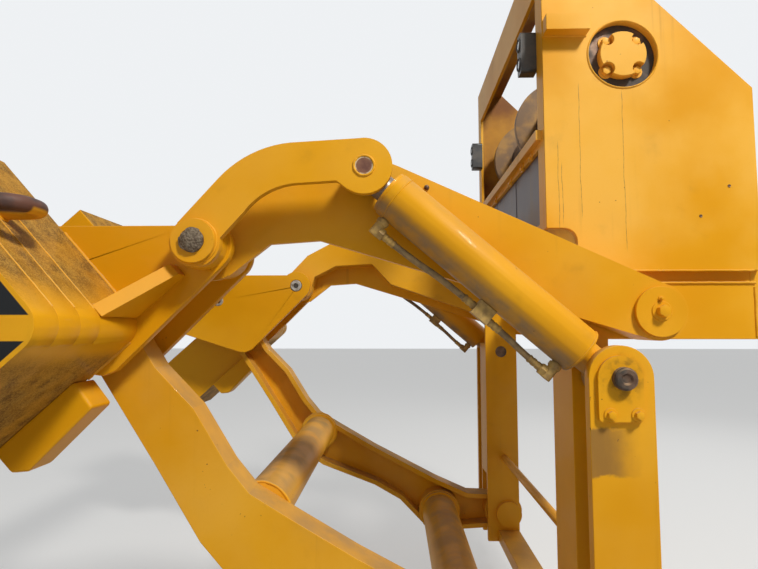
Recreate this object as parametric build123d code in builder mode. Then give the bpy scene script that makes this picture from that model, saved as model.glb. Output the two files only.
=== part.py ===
# Extending counterweight linkage of a pipelayer, with the side frame that carries it, in millimetres.
# X runs from the counterweight (minus) to the machine (plus), Y runs front to rear, Z is up.
# The origin is on the inboard bolted face of the side frame, on the mid-plane.
# Widths are given as distances from the mid-plane, because front and rear are mirror images.
import os
from math import cos, hypot, radians, sin

from build123d import *

os.makedirs("parts", exist_ok=True)

SIDES = (-1, 1)
NAMED_SIDES = ((-1, "front"), (1, "rear"))

# Pivot centres in X and Z with the counterweight swung fully out
UPPER_PIVOT = (-477, 55)
CYLINDER_PIVOT = (-685, -152)
LOWER_PIVOT = (-655, -1165)
ROD_PIVOT = (-1472, 518)
OUTER_PIVOT = (-2012, 275)
LINK_PIVOT = (-2522, 177)

# Pins and their running clearance on the radius
FIT = 0.05
UPPER_PIN_R = 50
CYLINDER_PIN_R = 35
LOWER_PIN_R = 45
ROD_PIN_R = 30
OUTER_PIN_R = 38
LINK_PIN_R = 38
ROD_DRIFT = 18
SIDE_GAP = 5
PIN_END = 1

# Layers from the mid-plane outwards
INNER_EAR_IN = 715
INNER_EAR_T = 35
ARM_IN = 785
ARM_W = 160
ARM_PLATE_T = 25
ARM_END_R = 98
ARM_EYE_R = 92
ARM_TOP = (
    (-2095, 325),
    (-1950, 480),
    (-1800, 560),
    (-1690, 590),
    (-1460, 606),
    (-1361, 566),
    (UPPER_PIVOT[0] + 40, UPPER_PIVOT[1] + 88),
    (UPPER_PIVOT[0] - 35, UPPER_PIVOT[1] - 92),
)
ARM_HIGH_FOOT = (
    (-920, 128),
    (-1393, 290),
    (-1519, 425),
    (-1760, 412),
    (-1900, 340),
    (-1940, 215),
)
ARM_LOW_FOOT = ((-1634, 304), (-1808, 292), (-1950, 180))
ARM_BORES = ((UPPER_PIVOT, UPPER_PIN_R), (ROD_PIVOT, ROD_PIN_R), (OUTER_PIVOT, OUTER_PIN_R))
BARREL_R = 79
BARREL_GAP = 6
CYLINDER_Y = ARM_IN + ARM_W + BARREL_GAP + BARREL_R
EYE_W = 100
CHEEK_IN = CYLINDER_Y + EYE_W / 2 + SIDE_GAP
CHEEK_T = 30
CHEEK_EYE_R = 91
CHEEK_FOOT_R = 82
CHEEK_BOSS_R = 70
CHEEK_BOSS_T = 22
CHEEK_TOP = ((-2070, 335), (-1939, 481), (-1834, 560), (-1711, 595))
CHEEK_RIGHT = ((-1466, 609), (-1466, 428), (-1526, 443), (-1560, 470))
CHEEK_UNDERSIDE = ((-1677, 463), (-1785, 434), (-1859, 367), (-1945, 270))
PIN_PROUD = 8
OUTER_EAR_IN = 985
OUTER_EAR_T = 40
EAR_R = 92
EAR_BOSS_R = 80
EAR_HOLE_R = 18
ARM_PLATE_EYE_R = ARM_EYE_R + EAR_HOLE_R
EAR_OUTLINE = (
    (OUTER_PIVOT[0] - 60, OUTER_PIVOT[1] + 69),
    (-2640, OUTER_PIVOT[1] + 69),
    (-2755, 130),
    (-2755, -35),
    (-2385, -152),
    (-2340, -158),
    (-2298, -141),
    (OUTER_PIVOT[0] + 65, OUTER_PIVOT[1] - 65),
)
LINK_ARM_IN = 801
LINK_ARM_W = 128
LINK_PLATE_T = 25
LINK_EYE_R = 100
LINK_FOOT_R = 97
LINK_OUTLINE = (
    (-2450, 245),
    (-2208, -136),
    (-2070, -275),
    (-1948, -468),
    (-1870, -560),
    (-1730, -642),
    (-1500, -772),
    (-1098, -975),
    (-900, -1060),
    (LOWER_PIVOT[0], LOWER_PIVOT[1] + LINK_FOOT_R),
    (LOWER_PIVOT[0], LOWER_PIVOT[1] - LINK_FOOT_R),
    (-1060, -1290),
    (-1197, -1241),
    (-1337, -1100),
    (-1500, -1010),
    (-1837, -885),
    (-1957, -808),
    (-2035, -722),
    (-2195, -470),
    (-2400, -160),
    (-2610, 110),
)
FLANGE_T = 28
POCKET_EYE_R = 160
POCKET_FOOT_R = 137
POCKET_TUBE_RING = 20

# Posts that carry the linkage outboard of the track
POST_X = -685
POST_W = 198
POST_FOOT = -1335
POST_HEAD_R = 99
PLATE_IN = 745
PLATE_T = 30
MIDDLE_IN = LINK_ARM_IN + LINK_ARM_W + SIDE_GAP + PIN_END
TIE_ROD = (-676, -820)
TIE_ROD_R = 21
OUTER_IN = CHEEK_IN
OUTER_T = 40
WEB_T = 30
BOX_TOP = -100
CLEVIS_TOP = -930
WEB_TOP = -250
PIN_HEAD_R = 78
PIN_HEAD_T = 29
KEEPER_T = 14
KEEPER_W = 136
KEEPER_DROP = 130
KEEPER_SHIFT = 8
CYLINDER_PIN_PROUD = 20
SHAFT_DISC_R = 85
SHAFT_DISC_T = 16
TIE_BEAM = (130, 70)
TIE_BEAM_WALL = 12

# Beam that joins the posts to the machine, and its mounting plate
BEAM_TOP = 166
BEAM_FOOT = -41
BEAM_LEFT = POST_X + POST_W / 2
BEAM_WALL = 25
SHAFT_TUBE_R = 80
MOUNT_T = 40
MOUNT_TOP = 420
MOUNT_HOLE_R = 15
MOUNT_HOLES_Y = (300, 600)
MOUNT_ROWS = (290, 380)

# Winch frame above the beam
FRAME_LEFT = -803
FRAME_TOP = 1555
FRAME_FOOT = 214
FRAME_NOTCH = 375
NOTCH_RIGHT = -687
NOTCH_R = 50
SLANT_X = -12
SLANT_Z = 912
WALL_T = 20
SILL_Z = 725
SILL_SIZE = 40
STOP_BLOCK = (-800, 1124, 166, 62)
STOP_BLOCK_T = 55
LAMP_Y = 665
LAMP_Z = 1106
LAMP_W = 62
LAMP_H = 168
LAMP_CORNER = 12
WALL_EDGE = 60
WALL_HEAD = 200
WALL_FOOT = 30
RAIL_T = 24
RAIL_LIP = 20
PANEL_T = 8
PANEL_LAP = 25
DRUM = (-495, 1050)
PORT_R = 131
DRUM_SHAFT_R = 70
BEARING_R = 160
BEARING_T = 20
COVER_R = 88
COVER_T = 38
COVER_NOTCH_R = 24
COVER_NOTCH_AT = 82
COVER_NOTCHES = 4
DRUM_CORE_R = 130
DRUM_FLANGE_R = 240
DRUM_HALF_W = 560
FLANGE_W = 40

# Counterweight section: the nose, then lengths along its upper and its lower face
NOSE = (-2200, 0)
UPPER_TILT = 48
UPPER_L = 900
CHAMFER_U = 140
CHAMFER_V = 54
LOWER_L = 850
LEG_T = 330
NOSE_R = 72
SLAB_COUNT = 3
SLAB_T = 98
SLAB_GAP = 0.3
BLOCK_IN = OUTER_EAR_IN + OUTER_EAR_T
BLOCK_W = 228
MIDDLE_BLOCK_U = (430, 632)
CROSS_BEAM_U = 570
CROSS_BEAM_SIZE = 180
GUSSET_U = 44
GUSSET_L = 212
GUSSET_T = 45
GUSSET_TIP_W = 60
STOP_LUG = ((0, 252), (-102, 258), (-118, 540), (-88, 580), (0, 582))
STOP_LUG_T = 120
EYE_BAR_R = 22
EYE_BAR_Z = 326
EYE_BAR_X = (-2590, -2348)
EYE_BAR_W = 140
EYE_BAR_BEND = 60

# Hydraulic cylinder, measured from the pin in its base
BARREL_START = 118
BARREL_END = 920
BARREL_FLOOR = 30
NECK_R = 50
BASE_EYE_R = 74
ROD_R = 45
ROD_EYE_R = 66
BLEND_LAP = 20
ROD_SPACE = 10

# Lower link: two kinked channel arms joined by two cross tubes
TUBE_A = (-1863, -668)
TUBE_A_R = 95
TUBE_B = (-1085, -1170)
TUBE_B_R = 108
TUBE_WALL = 14
COLLAR_T = 24
COLLAR_PROUD = 16

# Hoses on the underside of each barrel, as distances from the barrel's axis and along it
HOSE_R = 11
HOSE_BEND = 120
FITTING_R = 18
ELBOW_R = 15
PORT_END = 880
PORT_BASE = 152
ELBOW_OUT = 124
ELBOW_L = 34
CLAMP_START = 405
CLAMP_END = 470
CLAMP_OUT = 132
CLAMP_W = 40
ROD_HOSE_IN = 108
BASE_HOSE_IN = 117
ROD_HOSE_RUN = ((ELBOW_OUT, PORT_END - ELBOW_L), (ELBOW_OUT, 740), (ROD_HOSE_IN, 600), (ROD_HOSE_IN, CLAMP_END))
BASE_HOSE_RUN = (
    (ELBOW_OUT, PORT_BASE + ELBOW_L),
    (ELBOW_OUT, 250),
    (BASE_HOSE_IN, 330),
    (BASE_HOSE_IN, CLAMP_START),
)


def outward(side, start, width):
    """Sketch plane in X and Z whose extrusion by width fills start to start + width on one side."""
    return Plane.XZ.offset(start if side < 0 else -(start + width))


def cylinder_axis(side):
    """Plane across a cylinder at its base pin: X is the world's Y, Y points to its underside."""
    return Plane(
        origin=(CYLINDER_PIVOT[0], side * CYLINDER_Y, CYLINDER_PIVOT[1]),
        x_dir=(0, 1, 0),
        z_dir=(ROD_PIVOT[0] - CYLINDER_PIVOT[0], 0, ROD_PIVOT[1] - CYLINDER_PIVOT[1]),
    )


def nose_plane(side, start, width):
    """The same plane, its origin at the nose and its X axis up the upper face."""
    tilt = radians(180 - UPPER_TILT)
    return Plane(
        origin=outward(side, start, width).from_local_coords((NOSE[0], NOSE[1], 0)),
        x_dir=(cos(tilt), 0, sin(tilt)),
        z_dir=(0, -1, 0),
    )


def save(piece, name):
    """Labels a finished piece and writes it as its own STEP file."""
    piece.part.label = name
    export_step(piece.part, f"parts/{name}.step")


# Posts: outer plate with a round head, web, and an inner box that is open at its foot for the lower link
with BuildPart() as posts:
    for side in SIDES:
        with BuildSketch(outward(side, OUTER_IN, OUTER_T)):
            with Locations((POST_X, (POST_FOOT + CYLINDER_PIVOT[1]) / 2)):
                Rectangle(POST_W, CYLINDER_PIVOT[1] - POST_FOOT)
            with Locations(CYLINDER_PIVOT):
                Circle(POST_HEAD_R)
        extrude(amount=OUTER_T)
        with BuildSketch(outward(side, MIDDLE_IN, PLATE_T)):
            with Locations((POST_X, (POST_FOOT + BOX_TOP) / 2)):
                Rectangle(POST_W, BOX_TOP - POST_FOOT)
        extrude(amount=PLATE_T)
        with BuildSketch(outward(side, PLATE_IN, PLATE_T)):
            with Locations((POST_X, (POST_FOOT + BEAM_TOP) / 2)):
                Rectangle(POST_W, BEAM_TOP - POST_FOOT)
            with Locations(((BEAM_LEFT - MOUNT_T) / 2, (BEAM_FOOT + BEAM_TOP) / 2)):
                Rectangle(-MOUNT_T - BEAM_LEFT, BEAM_TOP - BEAM_FOOT)
            with Locations(UPPER_PIVOT):
                Circle(UPPER_PIN_R + FIT, mode=Mode.SUBTRACT)
        extrude(amount=PLATE_T)
        with BuildSketch(outward(side, MIDDLE_IN, OUTER_IN - MIDDLE_IN)):
            with Locations((BEAM_LEFT - WEB_T / 2, (POST_FOOT + WEB_TOP) / 2)):
                Rectangle(WEB_T, WEB_TOP - POST_FOOT)
        extrude(amount=OUTER_IN - MIDDLE_IN)
        with BuildSketch(outward(side, PLATE_IN, MIDDLE_IN - PLATE_IN)):
            with Locations((POST_X, (CLEVIS_TOP + BOX_TOP) / 2)):
                Rectangle(POST_W, BOX_TOP - CLEVIS_TOP)
                Rectangle(POST_W - 2 * WEB_T, BOX_TOP - CLEVIS_TOP - 2 * WEB_T, mode=Mode.SUBTRACT)
        extrude(amount=MIDDLE_IN - PLATE_IN)
    for side in SIDES:
        with BuildSketch(outward(side, PLATE_IN, OUTER_IN + OUTER_T - PLATE_IN)):
            with Locations(LOWER_PIVOT):
                Circle(LOWER_PIN_R + FIT)
            with Locations(CYLINDER_PIVOT):
                Circle(CYLINDER_PIN_R + FIT)
        extrude(amount=OUTER_IN + OUTER_T - PLATE_IN, mode=Mode.SUBTRACT)
save(posts, "outboard_posts")

with BuildPart() as base_pins:
    for side in SIDES:
        pin_w = OUTER_IN + OUTER_T + KEEPER_T + CYLINDER_PIN_PROUD - PLATE_IN
        with BuildSketch(outward(side, PLATE_IN, pin_w)):
            with Locations(CYLINDER_PIVOT):
                Circle(CYLINDER_PIN_R)
        extrude(amount=pin_w)
save(base_pins, "cylinder_pins")

with BuildPart() as keepers:
    for side in SIDES:
        with BuildSketch(outward(side, OUTER_IN + OUTER_T, KEEPER_T)):
            with Locations((POST_X - KEEPER_SHIFT, CYLINDER_PIVOT[1] - KEEPER_DROP / 2)):
                RectangleRounded(KEEPER_W, KEEPER_DROP, KEEPER_T)
            with Locations((POST_X - KEEPER_SHIFT, CYLINDER_PIVOT[1])):
                Circle(KEEPER_W / 2)
            with Locations(CYLINDER_PIVOT):
                Circle(CYLINDER_PIN_R + FIT, mode=Mode.SUBTRACT)
        extrude(amount=KEEPER_T)
save(keepers, "pin_keepers")

with BuildPart() as lower_pins:
    for side in SIDES:
        lower_pin_w = MIDDLE_IN + PLATE_T - PLATE_IN
        with BuildSketch(outward(side, PLATE_IN, lower_pin_w)):
            with Locations(LOWER_PIVOT):
                Circle(LOWER_PIN_R)
        extrude(amount=lower_pin_w)
        with BuildSketch(outward(side, PLATE_IN - PIN_HEAD_T, PIN_HEAD_T)):
            with Locations(LOWER_PIVOT):
                Circle(PIN_HEAD_R)
        extrude(amount=PIN_HEAD_T)
save(lower_pins, "lower_pins")

# Box beam between the posts, with a tube through it for the pivot shaft
with BuildPart() as beam:
    with BuildSketch(outward(-1, -PLATE_IN, 2 * PLATE_IN)):
        with Locations(((BEAM_LEFT - MOUNT_T) / 2, (BEAM_TOP + BEAM_FOOT) / 2)):
            Rectangle(-MOUNT_T - BEAM_LEFT, BEAM_TOP - BEAM_FOOT)
            Rectangle(
                -MOUNT_T - BEAM_LEFT - 2 * BEAM_WALL,
                BEAM_TOP - BEAM_FOOT - 2 * BEAM_WALL,
                mode=Mode.SUBTRACT,
            )
        with Locations(UPPER_PIVOT):
            Circle(SHAFT_TUBE_R)
            Circle(UPPER_PIN_R + FIT, mode=Mode.SUBTRACT)
    extrude(amount=2 * PLATE_IN)
save(beam, "pivot_beam")

# Pivot shaft with a retainer disc on each end
with BuildPart() as shaft:
    shaft_y = ARM_IN + ARM_W + PIN_END
    with BuildSketch(outward(-1, -shaft_y, 2 * shaft_y)):
        with Locations(UPPER_PIVOT):
            Circle(UPPER_PIN_R)
    extrude(amount=2 * shaft_y)
    for side in SIDES:
        with BuildSketch(outward(side, shaft_y, SHAFT_DISC_T)):
            with Locations(UPPER_PIVOT):
                Circle(SHAFT_DISC_R)
        extrude(amount=SHAFT_DISC_T)
save(shaft, "pivot_shaft")

with BuildPart() as tie_beam:
    with BuildSketch(outward(-1, -PLATE_IN, 2 * PLATE_IN)):
        tie_w, tie_h = TIE_BEAM
        with Locations((POST_X + WEB_T, POST_FOOT + tie_h / 2)):
            Rectangle(tie_w, tie_h)
            Rectangle(tie_w - 2 * TIE_BEAM_WALL, tie_h - 2 * TIE_BEAM_WALL, mode=Mode.SUBTRACT)
    extrude(amount=2 * PLATE_IN)
save(tie_beam, "lower_tie_beam")

with BuildPart() as tie_rod:
    with BuildSketch(outward(-1, -PLATE_IN, 2 * PLATE_IN)):
        with Locations(TIE_ROD):
            Circle(TIE_ROD_R)
    extrude(amount=2 * PLATE_IN)
save(tie_rod, "post_tie_rod")

# Winch frame: two end plates with a stepped foot, a slanted inboard edge and a raised stop block
with BuildPart() as end_plates:
    for side in SIDES:
        with BuildSketch(outward(side, PLATE_IN, PLATE_T)):
            with BuildLine():
                Polyline(
                    (NOTCH_RIGHT - NOTCH_R, FRAME_NOTCH),
                    (FRAME_LEFT, FRAME_NOTCH),
                    (FRAME_LEFT, FRAME_TOP),
                    (SLANT_X + SLANT_Z - FRAME_TOP, FRAME_TOP),
                    (SLANT_X, SLANT_Z),
                    (SLANT_X, FRAME_FOOT),
                    (NOTCH_RIGHT, FRAME_FOOT),
                    (NOTCH_RIGHT, FRAME_NOTCH - NOTCH_R),
                )
                RadiusArc((NOTCH_RIGHT, FRAME_NOTCH - NOTCH_R), (NOTCH_RIGHT - NOTCH_R, FRAME_NOTCH), -NOTCH_R)
            make_face()
            with Locations(DRUM):
                Circle(PORT_R, mode=Mode.SUBTRACT)
        extrude(amount=PLATE_T)
        block_left, block_foot, block_w, block_h = STOP_BLOCK
        with BuildSketch(outward(side, PLATE_IN + PLATE_T, STOP_BLOCK_T)):
            with Locations((block_left + block_w / 2, block_foot + block_h / 2)):
                Rectangle(block_w, block_h)
        extrude(amount=STOP_BLOCK_T)
save(end_plates, "winch_end_plates")

with BuildPart() as motor_covers:
    for side in SIDES:
        with BuildSketch(outward(side, PLATE_IN, COVER_T)):
            with Locations(DRUM):
                Circle(COVER_R)
                with PolarLocations(COVER_NOTCH_AT, COVER_NOTCHES, 180 / COVER_NOTCHES):
                    Circle(COVER_NOTCH_R, mode=Mode.SUBTRACT)
        extrude(amount=COVER_T)
save(motor_covers, "motor_covers")

with BuildPart() as drum_bearings:
    for side in SIDES:
        with BuildSketch(outward(side, PLATE_IN - BEARING_T, BEARING_T)):
            with Locations(DRUM):
                Circle(BEARING_R)
                Circle(DRUM_SHAFT_R + FIT, mode=Mode.SUBTRACT)
        extrude(amount=BEARING_T)
save(drum_bearings, "drum_bearings")

# Outboard side of the winch frame: a wall with a window, a sill rail and a plain panel below it
with BuildPart() as side_wall:
    with BuildSketch(Plane.YZ.offset(FRAME_LEFT)):
        with Locations((0, (FRAME_NOTCH + FRAME_TOP) / 2)):
            Rectangle(2 * PLATE_IN, FRAME_TOP - FRAME_NOTCH)
        window_foot = SILL_Z + SILL_SIZE
        window_head = FRAME_TOP - WALL_HEAD
        with Locations((0, (window_foot + window_head) / 2)):
            Rectangle(2 * (PLATE_IN - WALL_EDGE), window_head - window_foot, mode=Mode.SUBTRACT)
        recess_foot = FRAME_NOTCH + WALL_FOOT
        recess_head = SILL_Z - RAIL_LIP
        with Locations((0, (recess_foot + recess_head) / 2)):
            Rectangle(2 * (PLATE_IN - WALL_EDGE), recess_head - recess_foot, mode=Mode.SUBTRACT)
    extrude(amount=WALL_T)
    with BuildSketch(Plane.YZ.offset(FRAME_LEFT - RAIL_T)):
        with Locations((0, SILL_Z + SILL_SIZE / 2)):
            Rectangle(2 * PLATE_IN, SILL_SIZE)
    extrude(amount=RAIL_T)
save(side_wall, "winch_side_wall")

with BuildPart() as side_panel:
    with BuildSketch(Plane.YZ.offset(FRAME_LEFT + WALL_T)):
        with Locations((0, (recess_foot + recess_head) / 2)):
            Rectangle(2 * (PLATE_IN - WALL_EDGE + PANEL_LAP), recess_head - recess_foot + 2 * RAIL_LIP)
    extrude(amount=PANEL_T)
save(side_panel, "winch_side_panel")

with BuildPart() as lamps:
    with BuildSketch(Plane.YZ.offset(FRAME_LEFT - LAMP_W)):
        with Locations((-LAMP_Y, LAMP_Z), (LAMP_Y, LAMP_Z)):
            RectangleRounded(LAMP_W, LAMP_H, LAMP_CORNER)
    extrude(amount=LAMP_W)
save(lamps, "work_lamps")

with BuildPart() as top_plate:
    with BuildSketch(Plane.XY.offset(FRAME_TOP - WALL_T)):
        top_left = FRAME_LEFT + WALL_T
        top_right = SLANT_X + SLANT_Z - FRAME_TOP
        with Locations(((top_left + top_right) / 2, 0)):
            Rectangle(top_right - top_left, 2 * PLATE_IN)
    extrude(amount=WALL_T)
save(top_plate, "winch_frame_top")

with BuildPart() as floor_plate:
    with BuildSketch(Plane.XY.offset(BEAM_TOP)):
        with Locations(((BEAM_LEFT - MOUNT_T) / 2, 0)):
            Rectangle(-MOUNT_T - BEAM_LEFT, 2 * PLATE_IN)
    extrude(amount=FRAME_FOOT + PLATE_T - BEAM_TOP)
save(floor_plate, "winch_frame_floor")

with BuildPart() as mount_plate:
    with BuildSketch(Plane.YZ.offset(-MOUNT_T)):
        with Locations((0, (MOUNT_TOP + BEAM_FOOT) / 2)):
            Rectangle(2 * PLATE_IN, MOUNT_TOP - BEAM_FOOT)
        for y in MOUNT_HOLES_Y:
            with Locations(*((sign * y, row) for sign in (-1, 1) for row in MOUNT_ROWS)):
                Circle(MOUNT_HOLE_R, mode=Mode.SUBTRACT)
    extrude(amount=MOUNT_T)
save(mount_plate, "mounting_plate")

# Winch drum on its shaft, with an end flange on each side and one in the middle
with BuildPart() as drum:
    drum_shaft_w = 2 * (PLATE_IN - SIDE_GAP)
    with BuildSketch(outward(-1, -drum_shaft_w / 2, drum_shaft_w)):
        with Locations(DRUM):
            Circle(DRUM_SHAFT_R)
    extrude(amount=drum_shaft_w)
    with BuildSketch(outward(-1, -DRUM_HALF_W, 2 * DRUM_HALF_W)):
        with Locations(DRUM):
            Circle(DRUM_CORE_R)
    extrude(amount=2 * DRUM_HALF_W)
    for start in (-DRUM_HALF_W - FLANGE_W, -FLANGE_W / 2, DRUM_HALF_W):
        with BuildSketch(outward(1, start, FLANGE_W)):
            with Locations(DRUM):
                Circle(DRUM_FLANGE_R)
        extrude(amount=FLANGE_W)
save(drum, "rope_drum")

# Upper link: on each side a box main arm, and outside the rod eye a curved cheek plate
with BuildPart() as main_arms:
    for side in SIDES:
        with BuildSketch(outward(side, ARM_IN, ARM_W - ARM_PLATE_T)):
            with BuildLine():
                Polyline(*ARM_TOP, *ARM_HIGH_FOOT, close=True)
            make_face()
            with Locations(UPPER_PIVOT):
                Circle(ARM_END_R)
            with Locations(OUTER_PIVOT):
                Circle(ARM_EYE_R)
        extrude(amount=ARM_W - ARM_PLATE_T)
        with BuildSketch(outward(side, ARM_IN + ARM_W - ARM_PLATE_T, ARM_PLATE_T)):
            with BuildLine():
                Polyline(*ARM_TOP, *ARM_LOW_FOOT, close=True)
            make_face()
            with Locations(UPPER_PIVOT):
                Circle(ARM_END_R)
            with Locations(OUTER_PIVOT):
                Circle(ARM_PLATE_EYE_R)
        extrude(amount=ARM_PLATE_T)
    for side in SIDES:
        with BuildSketch(outward(side, ARM_IN, ARM_W)):
            for place, pin_r in ARM_BORES:
                with Locations(place):
                    Circle(pin_r + FIT)
        extrude(amount=ARM_W, mode=Mode.SUBTRACT)
save(main_arms, "main_arms")

with BuildPart() as cheeks:
    for side in SIDES:
        with BuildSketch(outward(side, CHEEK_IN, CHEEK_T)):
            with BuildLine():
                Line(CHEEK_TOP[0], CHEEK_TOP[1])
                ThreePointArc(*CHEEK_TOP[1:])
                Polyline(CHEEK_TOP[-1], *CHEEK_RIGHT, CHEEK_UNDERSIDE[0])
                ThreePointArc(*CHEEK_UNDERSIDE[:-1])
                Polyline(*CHEEK_UNDERSIDE[-2:], CHEEK_TOP[0])
            make_face()
            with Locations(ROD_PIVOT):
                Circle(CHEEK_EYE_R)
            with Locations(OUTER_PIVOT):
                Circle(CHEEK_FOOT_R)
            for place, pin_r in ARM_BORES[1:]:
                with Locations(place):
                    Circle(pin_r + FIT, mode=Mode.SUBTRACT)
        extrude(amount=CHEEK_T)
        with BuildSketch(outward(side, CHEEK_IN + CHEEK_T, CHEEK_BOSS_T)):
            with Locations(OUTER_PIVOT):
                Circle(CHEEK_BOSS_R)
                Circle(OUTER_PIN_R + FIT, mode=Mode.SUBTRACT)
        extrude(amount=CHEEK_BOSS_T)
save(cheeks, "cheek_plates")

with BuildPart() as rod_pins:
    for side in SIDES:
        rod_pin_w = CHEEK_IN + CHEEK_T + PIN_END - ARM_IN
        with BuildSketch(outward(side, ARM_IN, rod_pin_w)):
            with Locations(ROD_PIVOT):
                Circle(ROD_PIN_R)
        extrude(amount=rod_pin_w)
save(rod_pins, "rod_pins")

with BuildPart() as outer_pins:
    for side in SIDES:
        outer_pin_w = CHEEK_IN + CHEEK_T + CHEEK_BOSS_T + PIN_PROUD - INNER_EAR_IN
        with BuildSketch(outward(side, INNER_EAR_IN, outer_pin_w)):
            with Locations(OUTER_PIVOT):
                Circle(OUTER_PIN_R)
        extrude(amount=outer_pin_w)
save(outer_pins, "outer_pins")

# Cylinders: barrel with its base eye, and rod with its own eye, on the line between their pins
cyl_length = hypot(ROD_PIVOT[0] - CYLINDER_PIVOT[0], ROD_PIVOT[1] - CYLINDER_PIVOT[1])
for side, end in NAMED_SIDES:
    along = cylinder_axis(side)
    with BuildPart() as barrel:
        with BuildSketch(along.offset(BARREL_START)):
            Circle(BARREL_R)
        extrude(amount=BARREL_END - BARREL_START)
        with BuildSketch(along.offset(BASE_EYE_R - BLEND_LAP)):
            Circle(NECK_R)
        extrude(amount=BARREL_START - BASE_EYE_R + BLEND_LAP)
        with BuildSketch(outward(side, CYLINDER_Y - EYE_W / 2, EYE_W)):
            with Locations(CYLINDER_PIVOT):
                Circle(BASE_EYE_R)
        extrude(amount=EYE_W)
        with BuildSketch(outward(side, CYLINDER_Y - EYE_W / 2, EYE_W)):
            with Locations(CYLINDER_PIVOT):
                Circle(CYLINDER_PIN_R + FIT)
        extrude(amount=EYE_W, mode=Mode.SUBTRACT)
        with BuildSketch(along.offset(BARREL_START + BARREL_FLOOR)):
            Circle(ROD_R + FIT)
        extrude(amount=BARREL_END, mode=Mode.SUBTRACT)
    save(barrel, f"{end}_cylinder_barrel")

    with BuildPart() as rod:
        rod_start = BARREL_START + BARREL_FLOOR + ROD_SPACE
        with BuildSketch(along.offset(rod_start)):
            Circle(ROD_R)
        extrude(amount=cyl_length - rod_start - ROD_EYE_R + BLEND_LAP)
        with BuildSketch(outward(side, CYLINDER_Y - EYE_W / 2, EYE_W)):
            with Locations(ROD_PIVOT):
                Circle(ROD_EYE_R)
        extrude(amount=EYE_W)
        with BuildSketch(outward(side, CYLINDER_Y - EYE_W / 2, EYE_W)):
            with Locations(ROD_PIVOT):
                Circle(ROD_PIN_R + ROD_DRIFT)
        extrude(amount=EYE_W, mode=Mode.SUBTRACT)
    save(rod, f"{end}_cylinder_rod")


# Hoses: a square elbow at each port of the barrel, and both hoses end in one clamp block under it
for side, end in NAMED_SIDES:
    along = cylinder_axis(side)
    with BuildPart() as fittings:
        for port, turn in ((PORT_END, -1), (PORT_BASE, 1)):
            root = along.from_local_coords((0, BARREL_R, port))
            with BuildSketch(Plane(origin=root, z_dir=along.y_dir)):
                Circle(FITTING_R)
            extrude(amount=ELBOW_OUT + FITTING_R - BARREL_R)
            elbow = along.from_local_coords((0, ELBOW_OUT, port))
            with BuildSketch(Plane(origin=elbow, z_dir=turn * along.z_dir)):
                Circle(ELBOW_R)
            extrude(amount=ELBOW_L)
        clamp_root = along.from_local_coords((0, BARREL_R + SLAB_GAP, CLAMP_START))
        with BuildSketch(Plane(origin=clamp_root, x_dir=(0, 1, 0), z_dir=along.z_dir)):
            with Locations((0, (CLAMP_OUT - BARREL_R) / 2)):
                Rectangle(CLAMP_W, CLAMP_OUT - BARREL_R)
        extrude(amount=CLAMP_END - CLAMP_START)
    save(fittings, f"{end}_hose_fittings")

    for hose_name, route in (("rod_hose", ROD_HOSE_RUN), ("base_hose", BASE_HOSE_RUN)):
        with BuildPart() as hose:
            with BuildLine() as run:
                FilletPolyline(
                    *(along.from_local_coords((0, out, reach)) for out, reach in route),
                    radius=HOSE_BEND,
                )
            with BuildSketch(Plane(origin=run.line @ 0, z_dir=run.line % 0)):
                Circle(HOSE_R)
            sweep(path=run.line)
        save(hose, f"{end}_{hose_name}")


# Counterweight: right-angled sections from the rounded nose along the upper face and round to the lower one
SECTION = (
    (NOSE_R, 0),
    (UPPER_L - CHAMFER_U, 0),
    (UPPER_L, CHAMFER_V),
    (UPPER_L, LEG_T),
    (LEG_T, LEG_T),
    (LEG_T, LOWER_L),
    (0, LOWER_L),
    (0, NOSE_R),
)
with BuildPart() as end_slabs:
    for side in SIDES:
        for index in range(SLAB_COUNT):
            start = BLOCK_IN + BLOCK_W + SLAB_GAP + index * (SLAB_T + SLAB_GAP)
            with BuildSketch(nose_plane(side, start, SLAB_T)):
                with BuildLine():
                    Polyline(*SECTION)
                    RadiusArc((0, NOSE_R), (NOSE_R, 0), -NOSE_R)
                make_face()
            extrude(amount=SLAB_T)
save(end_slabs, "end_slabs")

with BuildPart() as blocks:
    for side in SIDES:
        with BuildSketch(nose_plane(side, BLOCK_IN, BLOCK_W)):
            with BuildLine():
                Polyline(*SECTION)
                RadiusArc((0, NOSE_R), (NOSE_R, 0), -NOSE_R)
            make_face()
        extrude(amount=BLOCK_W)
save(blocks, "carrier_blocks")

with BuildPart() as middle_block:
    middle_w = 2 * (INNER_EAR_IN - SLAB_GAP)
    block_low, block_high = MIDDLE_BLOCK_U
    with BuildSketch(nose_plane(1, -middle_w / 2, middle_w)):
        with Locations(((block_low + block_high) / 2, LEG_T / 2)):
            Rectangle(block_high - block_low, LEG_T)
    extrude(amount=middle_w)
save(middle_block, "middle_block")

with BuildPart() as cross_beam:
    cross_w = 2 * (BLOCK_IN + BLOCK_W)
    with BuildSketch(nose_plane(1, -cross_w / 2, cross_w)):
        with Locations((CROSS_BEAM_U, LEG_T + CROSS_BEAM_SIZE / 2)):
            Rectangle(CROSS_BEAM_SIZE, CROSS_BEAM_SIZE)
    extrude(amount=cross_w)
save(cross_beam, "carrier_cross_beam")

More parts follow.
